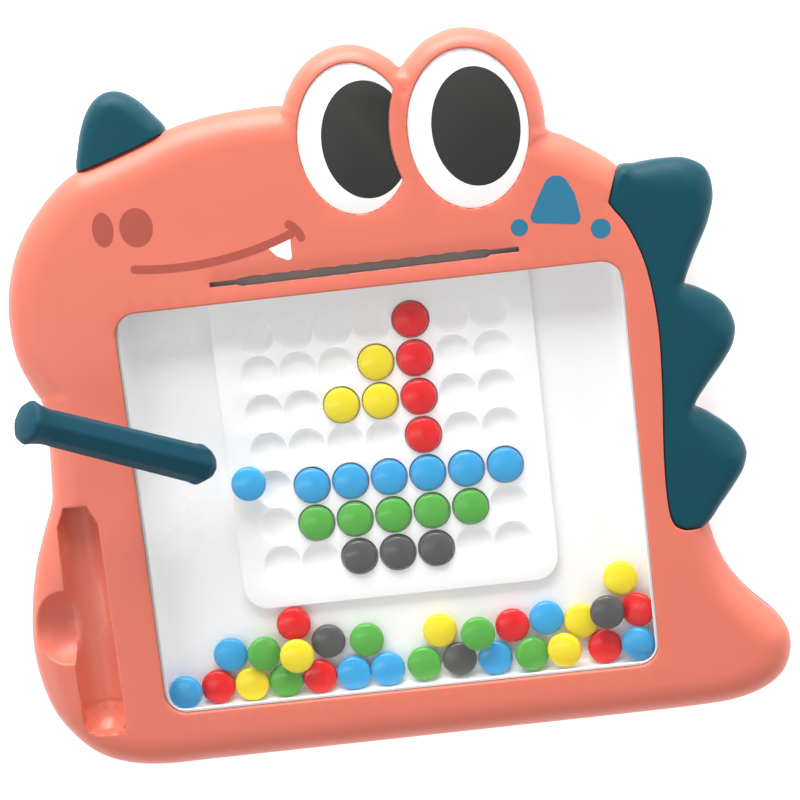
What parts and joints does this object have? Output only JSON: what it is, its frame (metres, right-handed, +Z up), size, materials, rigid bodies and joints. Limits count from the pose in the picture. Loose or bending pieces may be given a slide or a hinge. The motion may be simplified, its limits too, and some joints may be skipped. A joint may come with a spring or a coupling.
{
  "type": "magnetic bead drawing board",
  "caption": "Dinosaur-shaped desk toy: a magnetic pen draws steel-cored beads under a clear window into a grid of dimples.",
  "frame": {"origin": "middle of the board's flat back, on the table", "axes": "+Z up out of the window, +Y towards the head and eyes, +X towards the crest and tail"},
  "size_m": [0.2933, 0.271, 0.083],
  "materials": {
    "coral_plastic": "satin injection-moulded ABS",
    "teal_plastic": "satin injection-moulded ABS",
    "white_plastic": "satin injection-moulded ABS",
    "clear_window": "clear polished acrylic sheet",
    "eye_white": "smooth moulded inlay",
    "pupil_black": "smooth printed inlay",
    "print_brown": "pad-printed ink",
    "print_white": "pad-printed ink",
    "print_blue": "pad-printed ink",
    "bead_red": "glossy moulded plastic",
    "bead_yellow": "glossy moulded plastic",
    "bead_blue": "glossy moulded plastic",
    "bead_green": "glossy moulded plastic",
    "bead_grey": "glossy moulded plastic",
    "screw_steel": "zinc-plated steel",
    "magnet": "nickel-plated magnet"
  },
  "bodies": {
    "case": {"front_shell": "coral_plastic", "back_cover": "coral_plastic", "window": "clear_window", "bead_tray": "white_plastic", "peg_plate": "white_plastic", "crest": "teal_plastic", "horn": "teal_plastic", "left_eye_white": "eye_white", "right_eye_white": "eye_white", "left_pupil": "pupil_black", "right_pupil": "pupil_black", "mouth_print": "print_brown", "nostril_prints": "print_brown", "tooth_print": "print_white", "cheek_spots": "print_blue", "back_screws": "screw_steel", "loose_red_beads": "bead_red", "loose_yellow_beads": "bead_yellow", "loose_blue_beads": "bead_blue", "loose_green_beads": "bead_green", "loose_grey_beads": "bead_grey"},
    "dragged_bead": {"dragged_bead": "bead_blue"},
    "pen": {"pen_barrel": "teal_plastic", "pen_tail_cap": "teal_plastic", "pen_nose": "teal_plastic", "pen_magnet": "magnet"},
    "red_bead_r1c5": {"red_bead_r1c5": "bead_red"},
    "red_bead_r2c5": {"red_bead_r2c5": "bead_red"},
    "red_bead_r3c5": {"red_bead_r3c5": "bead_red"},
    "red_bead_r4c5": {"red_bead_r4c5": "bead_red"},
    "yellow_bead_r2c4": {"yellow_bead_r2c4": "bead_yellow"},
    "yellow_bead_r3c3": {"yellow_bead_r3c3": "bead_yellow"},
    "yellow_bead_r3c4": {"yellow_bead_r3c4": "bead_yellow"},
    "blue_bead_r5c2": {"blue_bead_r5c2": "bead_blue"},
    "blue_bead_r5c3": {"blue_bead_r5c3": "bead_blue"},
    "blue_bead_r5c4": {"blue_bead_r5c4": "bead_blue"},
    "blue_bead_r5c5": {"blue_bead_r5c5": "bead_blue"},
    "blue_bead_r5c6": {"blue_bead_r5c6": "bead_blue"},
    "blue_bead_r5c7": {"blue_bead_r5c7": "bead_blue"},
    "green_bead_r6c2": {"green_bead_r6c2": "bead_green"},
    "green_bead_r6c3": {"green_bead_r6c3": "bead_green"},
    "green_bead_r6c4": {"green_bead_r6c4": "bead_green"},
    "green_bead_r6c5": {"green_bead_r6c5": "bead_green"},
    "green_bead_r6c6": {"green_bead_r6c6": "bead_green"},
    "grey_bead_r7c3": {"grey_bead_r7c3": "bead_grey"},
    "grey_bead_r7c4": {"grey_bead_r7c4": "bead_grey"},
    "grey_bead_r7c5": {"grey_bead_r7c5": "bead_grey"}
  },
  "joints": [
    {"name": "bead_drag", "type": "slide", "parent": "case", "child": "dragged_bead", "axis": [0.9025, -0.4307, 0], "range_m": [-0.018, 0.00975]},
    {"name": "pen_lift", "type": "slide", "parent": "dragged_bead", "child": "pen", "axis": [0, 0, 1], "range_m": [0, 0.12]},
    {"name": "red_bead_r1c5_lift", "type": "slide", "parent": "case", "child": "red_bead_r1c5", "axis": [0, 0, 1], "range_m": [0, 0.005]},
    {"name": "red_bead_r2c5_lift", "type": "slide", "parent": "case", "child": "red_bead_r2c5", "axis": [0, 0, 1], "range_m": [0, 0.005]},
    {"name": "red_bead_r3c5_lift", "type": "slide", "parent": "case", "child": "red_bead_r3c5", "axis": [0, 0, 1], "range_m": [0, 0.005]},
    {"name": "red_bead_r4c5_lift", "type": "slide", "parent": "case", "child": "red_bead_r4c5", "axis": [0, 0, 1], "range_m": [0, 0.005]},
    {"name": "yellow_bead_r2c4_lift", "type": "slide", "parent": "case", "child": "yellow_bead_r2c4", "axis": [0, 0, 1], "range_m": [0, 0.005]},
    {"name": "yellow_bead_r3c3_lift", "type": "slide", "parent": "case", "child": "yellow_bead_r3c3", "axis": [0, 0, 1], "range_m": [0, 0.005]},
    {"name": "yellow_bead_r3c4_lift", "type": "slide", "parent": "case", "child": "yellow_bead_r3c4", "axis": [0, 0, 1], "range_m": [0, 0.005]},
    {"name": "blue_bead_r5c2_lift", "type": "slide", "parent": "case", "child": "blue_bead_r5c2", "axis": [0, 0, 1], "range_m": [0, 0.005]},
    {"name": "blue_bead_r5c3_lift", "type": "slide", "parent": "case", "child": "blue_bead_r5c3", "axis": [0, 0, 1], "range_m": [0, 0.005]},
    {"name": "blue_bead_r5c4_lift", "type": "slide", "parent": "case", "child": "blue_bead_r5c4", "axis": [0, 0, 1], "range_m": [0, 0.005]},
    {"name": "blue_bead_r5c5_lift", "type": "slide", "parent": "case", "child": "blue_bead_r5c5", "axis": [0, 0, 1], "range_m": [0, 0.005]},
    {"name": "blue_bead_r5c6_lift", "type": "slide", "parent": "case", "child": "blue_bead_r5c6", "axis": [0, 0, 1], "range_m": [0, 0.005]},
    {"name": "blue_bead_r5c7_lift", "type": "slide", "parent": "case", "child": "blue_bead_r5c7", "axis": [0, 0, 1], "range_m": [0, 0.005]},
    {"name": "green_bead_r6c2_lift", "type": "slide", "parent": "case", "child": "green_bead_r6c2", "axis": [0, 0, 1], "range_m": [0, 0.005]},
    {"name": "green_bead_r6c3_lift", "type": "slide", "parent": "case", "child": "green_bead_r6c3", "axis": [0, 0, 1], "range_m": [0, 0.005]},
    {"name": "green_bead_r6c4_lift", "type": "slide", "parent": "case", "child": "green_bead_r6c4", "axis": [0, 0, 1], "range_m": [0, 0.005]},
    {"name": "green_bead_r6c5_lift", "type": "slide", "parent": "case", "child": "green_bead_r6c5", "axis": [0, 0, 1], "range_m": [0, 0.005]},
    {"name": "green_bead_r6c6_lift", "type": "slide", "parent": "case", "child": "green_bead_r6c6", "axis": [0, 0, 1], "range_m": [0, 0.005]},
    {"name": "grey_bead_r7c3_lift", "type": "slide", "parent": "case", "child": "grey_bead_r7c3", "axis": [0, 0, 1], "range_m": [0, 0.005]},
    {"name": "grey_bead_r7c4_lift", "type": "slide", "parent": "case", "child": "grey_bead_r7c4", "axis": [0, 0, 1], "range_m": [0, 0.005]},
    {"name": "grey_bead_r7c5_lift", "type": "slide", "parent": "case", "child": "grey_bead_r7c5", "axis": [0, 0, 1], "range_m": [0, 0.005]}
  ]
}
